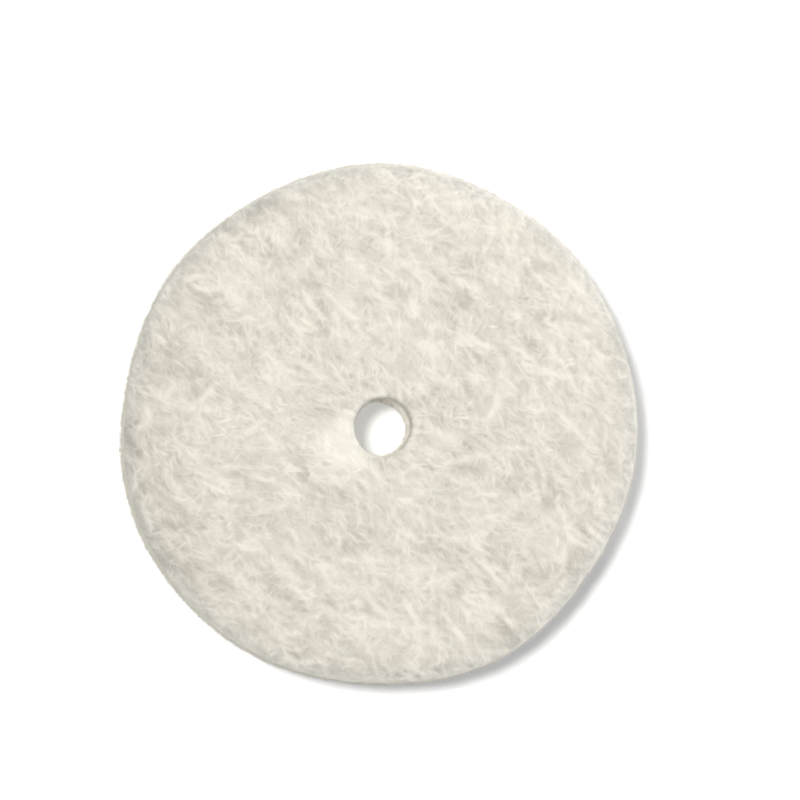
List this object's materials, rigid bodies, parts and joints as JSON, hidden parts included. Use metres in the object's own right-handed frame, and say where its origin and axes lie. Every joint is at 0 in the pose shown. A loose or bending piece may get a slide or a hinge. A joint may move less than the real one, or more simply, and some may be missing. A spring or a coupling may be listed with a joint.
{
  "type": "felt polishing wheel",
  "caption": "Flat round polishing wheel of pressed wool felt, laid up from plies, with a central arbor bore for a small screw mandrel.",
  "frame": {"origin": "where the axis of the arbor bore meets the back face, on the surface that the wheel lies on", "axes": "+Z along the axis of spin, from the back face to the front face; X and Y are any two radii at right angles"},
  "size_m": [0.0254, 0.0254, 0.0032],
  "materials": {
    "face_felt": "pressed ivory wool felt with a raised, matted nap of loose fibres",
    "core_felt": "dense pressed ivory wool felt, with cut fibre ends at its edges"
  },
  "bodies": {
    "root": {"back_ply": "face_felt", "back_cross_ply": "core_felt", "core_ply": "core_felt", "front_cross_ply": "core_felt", "front_ply": "face_felt"}
  },
  "joints": []
}
